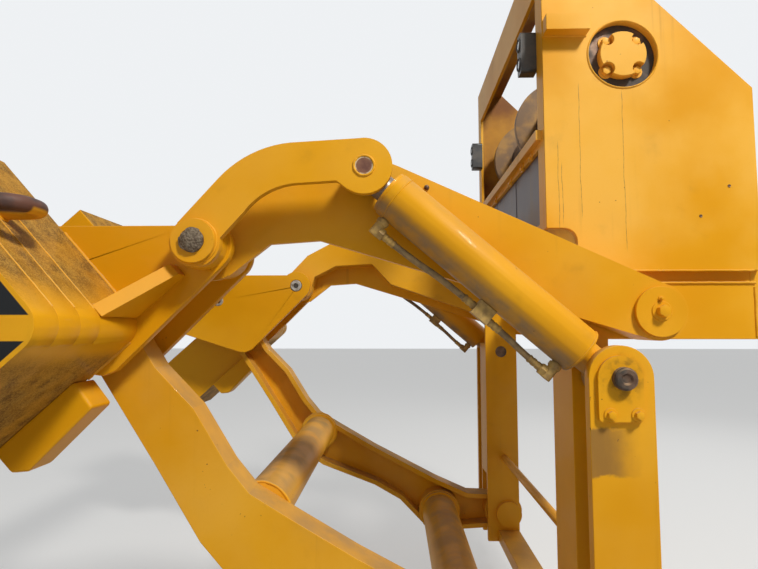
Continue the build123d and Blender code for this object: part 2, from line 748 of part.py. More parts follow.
# Lifting eyes: a bar bent to a level U, its legs cut to the upper face of each pack of slabs
with BuildPart() as lifting_eyes:
    for side in SIDES:
        eye_middle = side * (BLOCK_IN + BLOCK_W + SLAB_COUNT * SLAB_T / 2)
        eye_foot, eye_top = EYE_BAR_X
        with BuildLine(Plane.XY.offset(EYE_BAR_Z)) as eye_line:
            FilletPolyline(
                (eye_foot, eye_middle - EYE_BAR_W / 2),
                (eye_top, eye_middle - EYE_BAR_W / 2),
                (eye_top, eye_middle + EYE_BAR_W / 2),
                (eye_foot, eye_middle + EYE_BAR_W / 2),
                radius=EYE_BAR_BEND,
            )
        with BuildSketch(Plane(origin=eye_line.line @ 0, z_dir=eye_line.line % 0)):
            Circle(EYE_BAR_R)
        sweep(path=eye_line.line)
    face_up = (-cos(radians(UPPER_TILT)), 0, sin(radians(UPPER_TILT)))
    face_out = (sin(radians(UPPER_TILT)), 0, cos(radians(UPPER_TILT)))
    upper_face = Plane(origin=(NOSE[0], 0, NOSE[1]), x_dir=(0, 1, 0), z_dir=face_out)
    split(bisect_by=upper_face, keep=Keep.TOP)
save(lifting_eyes, "lifting_eyes")

# Carrier ears: an outer one with its gusset to the slabs, and an inner one with two small holes
for ear_name, ear_in, ear_t, boss_in, boss_out in (
    ("outer_ears", OUTER_EAR_IN, OUTER_EAR_T, ARM_IN + ARM_W + SIDE_GAP, CHEEK_IN - SIDE_GAP),
    ("inner_ears", INNER_EAR_IN, INNER_EAR_T, INNER_EAR_IN, ARM_IN - SIDE_GAP),
):
    with BuildPart() as ears:
        for side in SIDES:
            with BuildSketch(outward(side, ear_in, ear_t)):
                with BuildLine():
                    Polyline(*EAR_OUTLINE, close=True)
                make_face()
                with Locations(OUTER_PIVOT):
                    Circle(EAR_R)
            extrude(amount=ear_t)
            with BuildSketch(outward(side, boss_in, boss_out - boss_in)):
                with Locations(OUTER_PIVOT):
                    Circle(EAR_BOSS_R)
            extrude(amount=boss_out - boss_in)
        for side in SIDES:
            with BuildSketch(outward(side, boss_in, boss_out - boss_in)):
                with Locations(OUTER_PIVOT):
                    Circle(OUTER_PIN_R + FIT)
                with Locations(LINK_PIVOT):
                    Circle(EAR_HOLE_R)
            extrude(amount=boss_out - boss_in, mode=Mode.SUBTRACT)
    save(ears, ear_name)

with BuildPart() as gussets:
    foot_x = NOSE[0] + GUSSET_U * face_up[0]
    foot_z = NOSE[1] + GUSSET_U * face_up[2]
    for side in SIDES:
        with BuildSketch(Plane(origin=(foot_x, side * BLOCK_IN, foot_z), x_dir=face_out, z_dir=face_up)):
            with BuildLine():
                Polyline(
                    (0, 0),
                    (0, side * BLOCK_W),
                    (GUSSET_L, side * GUSSET_TIP_W),
                    (GUSSET_L, 0),
                    close=True,
                )
            make_face()
        extrude(amount=GUSSET_T)
save(gussets, "carrier_gussets")

with BuildPart() as stop_lugs:
    for side in SIDES:
        with BuildSketch(nose_plane(side, OUTER_EAR_IN, STOP_LUG_T)):
            with BuildLine():
                Polyline(*STOP_LUG, close=True)
            make_face()
        extrude(amount=STOP_LUG_T)
save(stop_lugs, "stop_lugs")

# Lower link: kinked arms, each a channel that opens inwards, and two cross tubes with collars
with BuildPart() as link_arms:
    for side in SIDES:
        with BuildSketch(outward(side, LINK_ARM_IN, LINK_ARM_W)):
            with BuildLine():
                Polyline(*LINK_OUTLINE, close=True)
            make_face()
            with Locations(LINK_PIVOT):
                Circle(LINK_EYE_R)
            with Locations(LOWER_PIVOT):
                Circle(LINK_FOOT_R)
        extrude(amount=LINK_ARM_W)
    for side in SIDES:
        pocket_w = LINK_ARM_W - LINK_PLATE_T
        with BuildSketch(outward(side, LINK_ARM_IN, pocket_w)):
            with BuildLine():
                Polyline(*LINK_OUTLINE, close=True)
            make_face()
            offset(amount=-FLANGE_T, mode=Mode.REPLACE)
            for place, solid_r in (
                (LINK_PIVOT, POCKET_EYE_R),
                (LOWER_PIVOT, POCKET_FOOT_R),
                (TUBE_A, TUBE_A_R + POCKET_TUBE_RING),
                (TUBE_B, TUBE_B_R + POCKET_TUBE_RING),
            ):
                with Locations(place):
                    Circle(solid_r, mode=Mode.SUBTRACT)
        extrude(amount=pocket_w, mode=Mode.SUBTRACT)
        with BuildSketch(outward(side, LINK_ARM_IN, LINK_ARM_W)):
            with Locations(LINK_PIVOT):
                Circle(LINK_PIN_R + FIT)
            with Locations(LOWER_PIVOT):
                Circle(LOWER_PIN_R + FIT)
        extrude(amount=LINK_ARM_W, mode=Mode.SUBTRACT)
save(link_arms, "link_arms")

with BuildPart() as link_pins:
    for side in SIDES:
        link_pin_in = INNER_EAR_IN + INNER_EAR_T + SIDE_GAP
        link_pin_w = OUTER_EAR_IN - SIDE_GAP - link_pin_in
        with BuildSketch(outward(side, link_pin_in, link_pin_w)):
            with Locations(LINK_PIVOT):
                Circle(LINK_PIN_R)
        extrude(amount=link_pin_w)
save(link_pins, "link_pins")

tubes = (("outer_cross_tube", TUBE_A, TUBE_A_R), ("inner_cross_tube", TUBE_B, TUBE_B_R))
for tube_name, place, tube_r in tubes:
    with BuildPart() as tube:
        with BuildSketch(outward(-1, -LINK_ARM_IN, 2 * LINK_ARM_IN)):
            with Locations(place):
                Circle(tube_r)
        extrude(amount=2 * LINK_ARM_IN)
        for side in SIDES:
            with BuildSketch(outward(side, LINK_ARM_IN - COLLAR_T, COLLAR_T)):
                with Locations(place):
                    Circle(tube_r + COLLAR_PROUD)
            extrude(amount=COLLAR_T)
        with BuildSketch(outward(-1, -LINK_ARM_IN, 2 * LINK_ARM_IN)):
            with Locations(place):
                Circle(tube_r - TUBE_WALL)
        extrude(amount=2 * LINK_ARM_IN, mode=Mode.SUBTRACT)
    save(tube, tube_name)
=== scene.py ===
from math import cos, pi, radians, sin

import bmesh
import bpy
from mathutils import Matrix, Vector, noise


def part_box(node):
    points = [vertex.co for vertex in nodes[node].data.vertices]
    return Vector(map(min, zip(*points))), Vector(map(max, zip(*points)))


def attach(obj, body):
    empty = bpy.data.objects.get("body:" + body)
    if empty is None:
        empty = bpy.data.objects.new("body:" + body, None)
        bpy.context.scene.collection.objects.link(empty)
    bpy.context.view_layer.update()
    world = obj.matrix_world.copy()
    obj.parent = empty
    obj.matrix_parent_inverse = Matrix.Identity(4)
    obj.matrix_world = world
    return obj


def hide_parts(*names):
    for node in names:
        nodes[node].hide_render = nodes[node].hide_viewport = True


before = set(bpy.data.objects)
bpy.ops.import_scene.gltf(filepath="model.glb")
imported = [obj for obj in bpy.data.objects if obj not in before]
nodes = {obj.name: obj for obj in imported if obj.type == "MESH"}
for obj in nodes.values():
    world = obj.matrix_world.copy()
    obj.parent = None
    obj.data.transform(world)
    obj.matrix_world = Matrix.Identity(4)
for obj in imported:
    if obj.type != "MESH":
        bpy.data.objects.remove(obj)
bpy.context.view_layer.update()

# Noise makes the small lumps of welds, pin ends and dried grease, and one seed fixes them for every run.
noise.seed_set(5)

# The view from beside the front arm, at about chest height, looking along the pivot shaft. A soft sun lamp
# stands high to the right, with a weak lamp on either side, and the floor lies where the ground is, below the
# side frame that is held up by its bolted face.
camera_lens = bpy.data.cameras.new("photo_lens")
camera_lens.sensor_width = 36
frame_width = 758
focal_length = 547
camera_lens.lens = camera_lens.sensor_width * focal_length / frame_width
camera_lens.clip_start = 0.05
camera = bpy.data.objects.new("photo_camera", camera_lens)
camera.location = (-1.380, -2.825, 0)
looking_up = 4.55
turned_left = 1.47
camera.rotation_euler = (radians(90 + looking_up), 0, radians(turned_left))
bpy.context.scene.collection.objects.link(camera)
bpy.context.scene.camera = camera
bpy.context.scene.view_settings.view_transform = "Standard"

lit_point = Vector((-1.4, 0, 0))
for lamp_name, place, size, power, colour in (
    ("key", (2.4, -5.5, 6.2), 1.2, 720, (1.0, 0.97, 0.92)),
    ("fill", (-4.8, -5.2, 1.6), 4.0, 25, (0.94, 0.97, 1.0)),
    ("back", (3.2, 5.2, 3.8), 4.0, 90, (1.0, 0.98, 0.95)),
):
    lamp = bpy.data.lights.new(lamp_name, "AREA")
    lamp.size = size
    lamp.energy = power
    lamp.color = colour
    lamp_object = bpy.data.objects.new(lamp_name, lamp)
    lamp_object.location = place
    lamp_object.rotation_euler = (lit_point - Vector(place)).to_track_quat("-Z", "Y").to_euler()
    bpy.context.scene.collection.objects.link(lamp_object)


class Wire:
    """One output in a material's node tree. Sums and products of wires add Math nodes."""

    def __init__(self, tree, socket=None):
        self.tree = tree
        self.socket = socket

    def add(self, kind, settings={}, inputs={}, output=0):
        """Adds a node, sets it up, feeds its inputs and returns the wire of one of its outputs."""
        node = self.tree.nodes.new(kind)
        for name, value in settings.items():
            setattr(node, name, value)
        for key, value in inputs.items():
            if isinstance(value, Wire):
                self.tree.links.new(value.socket, node.inputs[key])
            elif isinstance(value, tuple) and node.inputs[key].type == "RGBA":
                node.inputs[key].default_value = (*value, 1)
            else:
                node.inputs[key].default_value = value
        return Wire(self.tree, node.outputs[output] if len(node.outputs) else None)

    def maths(self, operation, first, second=0.0):
        return self.add("ShaderNodeMath", {"operation": operation}, {0: first, 1: second})

    def __add__(self, other):
        return self.maths("ADD", self, other)

    def __sub__(self, other):
        return self.maths("SUBTRACT", self, other)

    def __rsub__(self, other):
        return self.maths("SUBTRACT", other, self)

    def __mul__(self, other):
        return self.maths("MULTIPLY", self, other)

    __radd__ = __add__
    __rmul__ = __mul__

    def size(self):
        """The number without its sign."""
        return self.maths("ABSOLUTE", self)

    def rise(self, low, high):
        """0 below low, 1 above high and smooth between them."""
        span = {"Value": self, "From Min": low, "From Max": high}
        return self.add("ShaderNodeMapRange", {"interpolation_type": "SMOOTHSTEP"}, span)

    def between(self, low, high, soft):
        """1 from low to high and 0 outside, with soft ends."""
        return self.rise(low - soft, low + soft) * (1 - self.rise(high - soft, high + soft))

    def noise(self, scale, detail=3.0, stretch=(1, 1, 1)):
        """Noise between 0 and 1 at this place, stretched along the axes."""
        place = self.add("ShaderNodeMapping", {}, {"Vector": self, "Scale": stretch})
        return self.add("ShaderNodeTexNoise", {}, {"Vector": place, "Scale": scale, "Detail": detail})

    def part(self, axis):
        """The X, Y or Z of this vector."""
        return self.add("ShaderNodeSeparateXYZ", {}, {"Vector": self}, "XYZ".index(axis))

    def reach(self, centre, keep=(1, 0, 1)):
        """The distance of this place from centre, along the axes that keep names with a 1."""
        away = self.add("ShaderNodeVectorMath", {"operation": "SUBTRACT"}, {0: self, 1: centre})
        flat = self.add("ShaderNodeVectorMath", {"operation": "MULTIPLY"}, {0: away, 1: keep})
        return self.add("ShaderNodeVectorMath", {"operation": "LENGTH"}, {0: flat}, 1)

    def along(self, start, direction):
        """How far this place is from start in a direction."""
        away = self.add("ShaderNodeVectorMath", {"operation": "SUBTRACT"}, {0: self, 1: start})
        return self.add("ShaderNodeVectorMath", {"operation": "DOT_PRODUCT"}, {0: away, 1: direction}, 1)

    def blend(self, first, second):
        """The first colour where this mask is 0 and the second where it is 1."""
        settings = {"data_type": "RGBA", "clamp_factor": True}
        return self.add("ShaderNodeMix", settings, {0: self, 6: first, 7: second}, 2)


def open_finish(name):
    """A new material, the wire of the place on the object and the wire of the surface's direction."""
    finish = bpy.data.materials.new(name)
    finish.use_nodes = True
    finish.node_tree.nodes.clear()
    start = Wire(finish.node_tree)
    return finish, start.add("ShaderNodeTexCoord", output=3), start.add("ShaderNodeNewGeometry", output=1)


def close_finish(start, relief, strength, depth, surface):
    """Ends a material's tree in its surface, with relief as its bumps."""
    bump = start.add("ShaderNodeBump", {}, {"Height": relief, "Strength": strength, "Distance": depth})
    shaded = start.add("ShaderNodeBsdfPrincipled", {}, {**surface, "Normal": bump})
    start.add("ShaderNodeOutputMaterial", {}, {"Surface": shaded})


ground = -1.6
floor_mesh = bmesh.new()
bmesh.ops.create_grid(floor_mesh, x_segments=1, y_segments=1, size=40)
bmesh.ops.translate(floor_mesh, verts=floor_mesh.verts, vec=(0, 0, ground))
floor_data = bpy.data.meshes.new("floor")
floor_mesh.to_mesh(floor_data)
floor_mesh.free()
floor = bpy.data.objects.new("floor", floor_data)
bpy.context.scene.collection.objects.link(floor)
floor_finish, floor_place = open_finish("pale_floor")[:2]
floor_seen = floor_place.add("ShaderNodeLightPath", output=0)
floor_seen = floor_seen + floor_place.add("ShaderNodeLightPath", output=3)
floor_pale = floor_seen.blend((0.0, 0.0, 0.0), (0.36, 0.36, 0.355))
floor_surface = {
    "Base Color": (0.46, 0.46, 0.455),
    "Roughness": 0.8,
    "Emission Color": floor_pale,
    "Emission Strength": 1.0,
}
close_finish(floor_place, floor_place.noise(6), 0.05, 0.002, floor_surface)
floor_data.materials.append(floor_finish)

world = bpy.data.worlds.new("pale_room")
bpy.context.scene.world = world
world.use_nodes = True
world.node_tree.nodes.clear()
room = Wire(world.node_tree)
seen = room.add("ShaderNodeLightPath", output=0)
mirrored = room.add("ShaderNodeLightPath", output=3)
soft_light = room.add("ShaderNodeBackground", {}, {"Color": (0.93, 0.96, 1.0), "Strength": 0.22})
pale_wall = room.add("ShaderNodeBackground", {}, {"Color": (0.86, 0.88, 0.90), "Strength": 1.0})
shown = seen.maths("MAXIMUM", seen, mirrored)
either = room.add("ShaderNodeMixShader", {}, {0: shown, 1: soft_light, 2: pale_wall})
room.add("ShaderNodeOutputWorld", {}, {"Surface": either})


# Side frame: two posts of welded plate stand outboard of the track and carry the lower pins and cylinders.
# They are sprayed in one coat of warm yellow. Dust dulls it on top, grease darkens it round the pins, rust
# runs down from edges and joints, and one rubbed patch on each post has lost its paint.
fresh_paint = (0.84, 0.405, 0.006)
deep_paint = (0.73, 0.320, 0.003)
chalky_paint = (0.88, 0.480, 0.075)
tan_dust = (0.42, 0.255, 0.105)
grey_dust = (0.27, 0.19, 0.11)
dry_grease = (0.040, 0.026, 0.014)
rust = (0.150, 0.042, 0.012)
bare_plate = (0.200, 0.108, 0.040)
dark_soil = (0.115, 0.056, 0.016)
pale_soil = (0.420, 0.235, 0.045)
stripe_black = (0.008, 0.009, 0.010)
side_signs = (-1, 1)
nose = Vector((-2.200, 0, 0))
up_face = Vector((-0.6691, 0, 0.7431))
down_face = Vector((-0.7431, 0, -0.6691))


def painted(
    name,
    dust=0.4,
    chalk=0.3,
    runs=0.3,
    soil=0,
    greasy=(),
    cracks=(),
    rubbed=None,
    painted_shade_bay=None,
    caked=None,
    striped=False,
):
    """Weathered yellow paint, with its finish's own marks.

    greasy holds (x, z, radius, spread) of rings on the front side, cracks (x, low, high), rubbed the corners
    of a box on the outer faces, painted_shade_bay the left end and half width of a bay whose inside is
    darkened with painted shade, and caked the direction in which a round form is pale with dust.
    """
    finish, place, facing = open_finish(name)
    height = place.part("Z")
    cloud = place.noise(1.2, 4)
    grain = place.noise(55, 3)
    colour = cloud.rise(0.32, 0.68).blend(deep_paint, fresh_paint)
    colour = (place.noise(2.3, 5).rise(0.34, 0.72) * chalk).blend(colour, chalky_paint)
    colour = (place.noise(120, 2).rise(0.55, 0.80) * 0.16).blend(colour, deep_paint)

    upward = facing.part("Z").rise(0.2, 0.8)
    upright = 1 - facing.part("Z").size().rise(0.25, 0.6)
    lying = upward * (0.35 + place.noise(7, 6).rise(0.34, 0.66) * 0.65) * dust
    clinging = place.noise(3.1, 7).rise(0.50, 0.78) * (dust * 0.22)
    powder = lying.maths("MAXIMUM", lying, clinging)
    colour = powder.blend(colour, tan_dust)

    earthy = 0.0
    if soil:
        speckle = place.noise(210, 3) * 0.6 + place.noise(24, 5) * 0.4
        earth = speckle.rise(0.38, 0.62).blend(dark_soil, pale_soil)
        ragged = place.noise(6, 5) * 0.24 - 0.12
        above = (place.along(nose, up_face) + ragged * 0.5).rise(0.03, 0.22)
        below = (place.along(nose, down_face) + ragged * 0.3).rise(0.09, 0.17)
        away = above.maths("MAXIMUM", above, below)
        away = away * (0.72 + place.noise(11, 6).rise(0.38, 0.60) * 0.28)
        earthy = away * (1 - facing.part("Y").size().rise(0.3, 0.7)) * soil
        colour = earthy.blend(colour, earth)
    if caked:
        settled = facing.along((0, 0, 0), caked).rise(0.30, 0.80)
        settled = settled * (0.45 + place.noise(14, 6).rise(0.35, 0.65) * 0.45)
        colour = settled.blend(colour, grey_dust)
    # Painted shade: inside the winch bay the paint is darkened towards the rust colour, where the walls shade
    # it.
    if painted_shade_bay:
        left, half = painted_shade_bay
        bay = 1 - place.part("Y").size().rise(half, half + 0.0004)
        bay = bay * place.part("X").rise(left, left + 0.004)
        bay = bay * (0.45 + place.noise(3, 6).rise(0.35, 0.65) * 0.45)
        colour = bay.blend(colour, rust)

    stain = place.noise(1.0, 4, (34, 34, 0.9)).rise(0.60, 0.82) * place.noise(1.6, 2).rise(0.46, 0.72)
    stain = stain * upright * runs
    colour = stain.blend(colour, rust)
    chips = place.noise(62, 2).rise(0.745, 0.765) * place.noise(4.2, 3).rise(0.52, 0.64)
    colour = (chips * 0.85).blend(colour, rust)

    if rubbed:
        (left, foot), (right, top) = rubbed
        ragged = place.noise(22, 5) * 0.05 - 0.025
        across = place.part("X") + ragged
        worn = across.between(left, right, 0.012) * (height + ragged).between(foot, top, 0.006)
        worn = worn * (1 - across.rise(left + 0.4 * (right - left), right) * 0.85)
        worn = worn * facing.part("Y").size().rise(0.8, 0.9)
        worn = worn * place.part("Y").size().rise(1.118, 1.122)
        worn = worn * (0.45 + place.noise(9, 6, (1, 1, 0.25)).rise(0.35, 0.6) * 0.32)
        colour = worn.blend(colour, bare_plate)

    dirt = place.noise(6, 7).rise(0.62, 0.90) * 0.35
    for x, z, radius, spread in greasy:
        away = place.reach((x, 0, z)) + place.noise(17, 4) * 0.05 - 0.025
        ring = (1 - away.rise(radius, radius + spread)) * (1 - place.part("Y").rise(-0.1, 0.1))
        ring = ring * (0.20 + place.noise(38, 5).rise(0.40, 0.62) * 0.80)
        dirt = dirt.maths("MAXIMUM", dirt, ring * 0.50)
    for x, low, high in cracks:
        wander = place.noise(1.0, 5, (0, 0, 6)) * 0.020 - 0.010
        line = 1 - (place.part("X") + wander - x).size().rise(0.0004, 0.0018)
        line = line * height.between(low, high, 0.02) * facing.part("Y").size().rise(0.8, 0.9)
        line = line * (0.45 + place.noise(1.0, 4, (0, 0, 30)).rise(0.4, 0.6) * 0.35)
        colour = line.blend(colour, bare_plate)
    colour = dirt.blend(colour, dry_grease)
    rough = 0.45 + powder * 0.35 + dirt * 0.25 + stain * 0.25 + earthy * 0.40

    if striped:
        inside = place.along(nose, up_face).rise(0.011, 0.013)
        inside = inside * place.along(nose, down_face).rise(0.011, 0.013)
        stripes_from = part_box("end_slabs")[1][1] - 0.005
        pitch = height.maths("PINGPONG", height, 0.1)
        band = pitch.rise(0.030, 0.032) * inside
        band = band * place.part("Y").size().rise(stripes_from, stripes_from + 0.002)
        scuffed = place.noise(26, 6).rise(0.60, 0.66) * 0.5
        band = band * facing.part("Y").size().rise(0.9, 0.95)
        band = band * (1 - scuffed * place.noise(2, 3).rise(0.5, 0.7))
        colour = band.blend(colour, stripe_black)
        rough = rough * (1 - band * 0.45)

    relief = grain * 0.20 + cloud * 0.5 + chips * -0.9 + dirt * 0.3
    surface = {"Base Color": colour, "Roughness": rough, "Coat Weight": 0.04, "Specular IOR Level": 0.14}
    close_finish(place, relief, 0.20, 0.0015, surface)
    return finish


def dress(finish, *names, edge=0.003):
    """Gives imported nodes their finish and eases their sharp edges, as ground plate and castings have."""
    for name in names:
        piece = nodes[name]
        piece.data.materials.clear()
        piece.data.materials.append(finish)
        weld = piece.modifiers.new("one_skin", "WELD")
        weld.merge_threshold = 0.00005
        ease = piece.modifiers.new("eased_edges", "BEVEL")
        ease.width = edge
        ease.segments = 2
        ease.limit_method = "ANGLE"
        ease.angle_limit = radians(40)
        ease.harden_normals = True


def settle(shape, fresh, place, axis):
    """Turns the new points of a shape from +Z to axis and moves them to their place."""
    turn = Vector((0, 0, 1)).rotation_difference(Vector(axis)).to_matrix().to_4x4()
    bmesh.ops.transform(shape, matrix=Matrix.Translation(place) @ turn, verts=fresh)


def turned(shape, profile, place, axis, steps=40, lumps=0.0):
    """Turns a profile of (radius, height) points into a round form, lumpy as grease if lumps is set."""
    before = set(shape.verts)
    line = [shape.verts.new((radius, 0, height)) for radius, height in profile]
    edges = [shape.edges.new(pair) for pair in zip(line, line[1:])]
    whole = {"angle": 2 * pi, "steps": steps, "use_merge": True}
    bmesh.ops.spin(shape, geom=line + edges, cent=(0, 0, 0), axis=(0, 0, 1), **whole)
    fresh = [point for point in shape.verts if point not in before]
    bmesh.ops.remove_doubles(shape, verts=fresh, dist=0.00001)
    fresh = [point for point in shape.verts if point not in before]
    for point in fresh if lumps else ():
        point.co += noise.noise_vector(point.co * 60 + Vector(place)) * lumps
    settle(shape, fresh, place, axis)


def soften(shape, edges, width):
    """Bevels edges, as a file or a die leaves them."""
    bmesh.ops.bevel(shape, geom=edges, offset=width, affect="EDGES", segments=2, profile=0.5, material=-1)


def hex_bolt(shape, place, axis, across):
    """A washer and a chamfered hexagon head, across its flats, standing on place."""
    thick = 0.004
    washer = ((0, 0), (across * 0.92, 0), (across * 0.95, 0.001), (across * 0.90, thick), (0, thick))
    turned(shape, washer, place, axis, 24)
    before = set(shape.verts)
    tall = across * 0.62
    corner = across * 0.577
    bmesh.ops.create_cone(shape, cap_ends=True, segments=6, radius1=corner, radius2=corner, depth=tall)
    fresh = [point for point in shape.verts if point not in before]
    bmesh.ops.translate(shape, verts=fresh, vec=(0, 0, thick + tall / 2))
    top = [edge for edge in shape.edges if all(point in fresh and point.co.z > tall for point in edge.verts)]
    soften(shape, top, across * 0.07)
    settle(shape, [point for point in shape.verts if point not in before], place, axis)


def stand(name, shape, body, finish, smooth=35):
    """Makes an object of a shape, which rides on a body and takes a finish."""
    bmesh.ops.recalc_face_normals(shape, faces=shape.faces)
    data = bpy.data.meshes.new(name)
    shape.to_mesh(data)
    shape.free()
    data.shade_smooth()
    data.set_sharp_from_angle(angle=radians(smooth))
    data.materials.append(finish)
    piece = bpy.data.objects.new(name, data)
    bpy.context.scene.collection.objects.link(piece)
    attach(piece, body)
    return piece


cylinder_pin = (-0.685, -0.152)
post_paint = painted(
    "post_paint",
    dust=0.55,
    runs=0.45,
    greasy=((*cylinder_pin, 0.040, 0.045),),
    rubbed=((-0.795, -0.446), (-0.640, -0.300)),
)
dress(post_paint, "outboard_posts", "pin_keepers", "lower_pins")

keeper_face = 1.139
keeper_bolts = bmesh.new()
for side in side_signs:
    for x in (-0.727, -0.645):
        hex_bolt(keeper_bolts, (x, side * keeper_face, -0.260), (0, side, 0), 0.022)
stand("keeper_bolts", keeper_bolts, "side_frame", post_paint, 25)


# Cylinder pins: turned steel, each held by its keeper plate. The end stands proud, with a centre hole from
# turning, and years of grease have dried on it to a dark crust.
def greased_steel(name, crust=0.6):
    """Bare turned steel, brown with thin rust, under a patchy crust of dried grease."""
    finish, place, facing = open_finish(name)
    mottled = place.noise(24, 6)
    colour = mottled.rise(0.35, 0.65).blend((0.17, 0.105, 0.065), (0.10, 0.052, 0.030))
    caked = place.noise(13, 6).rise(0.62 - crust * 0.3, 0.72 - crust * 0.2)
    colour = caked.blend(colour, (0.045, 0.036, 0.027))
    dusted = (facing.part("Z").rise(0.3, 0.9) * 0.4).blend(colour, tan_dust)
    relief = mottled * 0.5 + caked * 0.8 + place.noise(90, 3) * 0.3
    surface = {"Base Color": dusted, "Roughness": 0.45 + caked * 0.25, "Metallic": 0.55 - caked * 0.5}
    close_finish(place, relief, 0.5, 0.002, surface)
    return finish


pin_steel = greased_steel("pin_steel")
dress(pin_steel, "cylinder_pins")
pin_face = 1.159
pin_ends = bmesh.new()
for side in side_signs:
    rim = ((0, 0.0005), (0.033, 0.0005), (0.0335, 0.004), (0.029, 0.008), (0.018, 0.009), (0.012, 0.003))
    pin_end = (cylinder_pin[0], side * pin_face, cylinder_pin[1])
    turned(pin_ends, (*rim, (0, 0.0028)), pin_end, (0, side, 0), 48, lumps=0.0012)
stand("cylinder_pin_ends", pin_ends, "side_frame", pin_steel)


# Pivot beam: a box of plate welded between the posts, with the pivot shaft through it. A painted disc with
# one large hexagon bolt and a grease nipple keeps the main arm on each end of the shaft.
beam_paint = painted("beam_paint", dust=0.5, chalk=0.45, runs=0.35)
disc_paint = painted("disc_paint", dust=0.3, chalk=0.2, runs=0.2)
dress(beam_paint, "pivot_beam", "winch_frame_floor", "mounting_plate", "lower_tie_beam", "post_tie_rod")
dress(disc_paint, "pivot_shaft", edge=0.002)

disc_face = 0.962
disc_bolts = bmesh.new()
nipple = (
    (0, 0), (0.008, 0), (0.008, 0.005), (0.0045, 0.006),
    (0.0045, 0.010), (0.006, 0.012), (0.004, 0.016), (0, 0.017),
)
for side in side_signs:
    hex_bolt(disc_bolts, (-0.477, side * disc_face, 0.057), (0, side, 0), 0.036)
    turned(disc_bolts, nipple, (-0.480, side * disc_face, 0.099), (0, side, 0), 20)
stand("shaft_disc_bolts", disc_bolts, "side_frame", disc_paint, 25)


def bead(name, body, runs, size, finish, ripple=0.22):
    """Weld metal laid along runs of points, with the ripples that the welder's hand leaves."""
    line = bpy.data.curves.new(name, "CURVE")
    line.dimensions = "3D"
    line.bevel_depth = size
    line.bevel_resolution = 2
    line.use_fill_caps = True
    for run in runs:
        laid = []
        for start, end in zip(run, run[1:]):
            stops = max(2, round((Vector(end) - Vector(start)).length / (size * 1.3)))
            last = stops + (end == run[-1])
            laid += [Vector(start).lerp(Vector(end), stop / stops) for stop in range(last)]
        spline = line.splines.new("POLY")
        spline.points.add(len(laid) - 1)
        for point, place in zip(spline.points, laid):
            drift = noise.noise_vector(place * 40) * size * 0.25
            point.co = (*(place + drift), 1)
            point.radius = 1 + ripple * noise.noise(place * 150)
    line.materials.append(finish)
    weld = bpy.data.objects.new(name, line)
    bpy.context.scene.collection.objects.link(weld)
    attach(weld, body)


def ring_run(centre, radius, y, steps=36):
    """Points round a pin, for a weld that closes on itself."""
    turns = [2 * pi * step / steps for step in range(steps + 1)]
    return [(centre[0] + radius * cos(turn), y, centre[1] + radius * sin(turn)) for turn in turns]


beam_welds = [[(-0.044, side * 0.776, -0.030), (-0.044, side * 0.776, 0.151)] for side in side_signs]
for side in side_signs:
    beam_welds.append([(-0.585, side * 0.777, 0.167), (-0.042, side * 0.777, 0.167)])
    beam_welds.append([(-0.583, side * 0.935, z) for z in (-0.92, -0.60, -0.30)])
bead("beam_welds", "side_frame", beam_welds, 0.005, beam_paint)


# Winch frame: end plates of thick sheet with a round port for the drum motor, a top and a side wall, all
# welded and sprayed yellow. The sun has chalked the large faces, and thin cracks in the paint run down
# below the port. A raised block welded near the top of each end plate takes the boom's stop.
frame_paint = painted(
    "frame_paint",
    dust=0.45,
    chalk=0.85,
    runs=0.40,
    cracks=((-0.668, 0.42, 0.93), (-0.505, 0.30, 0.90), (-0.752, 0.36, 0.70), (-0.738, 0.40, 0.62)),
    # The inside of the bay, behind the side wall, is darkened with painted shade.
    painted_shade_bay=(-0.790, 0.7453),
)
dress(frame_paint, "winch_end_plates", "motor_covers", "winch_frame_top", "winch_side_wall", edge=0.002)

drum_centre = (-0.495, 1.050)
cover_face = 0.745
plate_face = 0.775
cover_bolts = bmesh.new()
bolt_out = 0.058
for side in side_signs:
    for across in side_signs:
        for up in side_signs:
            place = (drum_centre[0] + across * bolt_out, side * cover_face, drum_centre[1] + up * bolt_out)
            hex_bolt(cover_bolts, place, (0, side, 0), 0.028)
stand("motor_cover_bolts", cover_bolts, "side_frame", frame_paint, 25)

port_ring = bmesh.new()
lip = ((0.1315, 0), (0.1315, 0.003), (0.134, 0.0045), (0.1365, 0.003), (0.138, 0), (0.1315, 0))
for side in side_signs:
    turned(port_ring, lip, (drum_centre[0], side * plate_face, drum_centre[1]), (0, side, 0), 72)
stand("port_lips", port_ring, "side_frame", frame_paint)

plugs = bmesh.new()
plug = ((0, 0.0006), (0.002, 0.0006), (0.0025, 0.002), (0.005, 0.0025), (0.006, 0.0005), (0, 0.0004))
for side in side_signs:
    for x, z in ((-0.228, 0.418), (-0.118, 0.532)):
        turned(plugs, plug, (x, side * plate_face, z), (0, side, 0), 24)
stand("grease_point_plugs", plugs, "side_frame", pin_steel)

frame_welds = []
stop_block = ((-0.800, 1.186), (-0.800, 1.124), (-0.634, 1.124), (-0.634, 1.186), (-0.800, 1.186))
for side in side_signs:
    frame_welds.append([(x, side * 0.776, z) for x, z in stop_block])
    frame_welds.append([(-0.586, side * 0.776, 0.213), (-0.044, side * 0.776, 0.213)])
bead("frame_welds", "side_frame", frame_welds, 0.004, frame_paint)


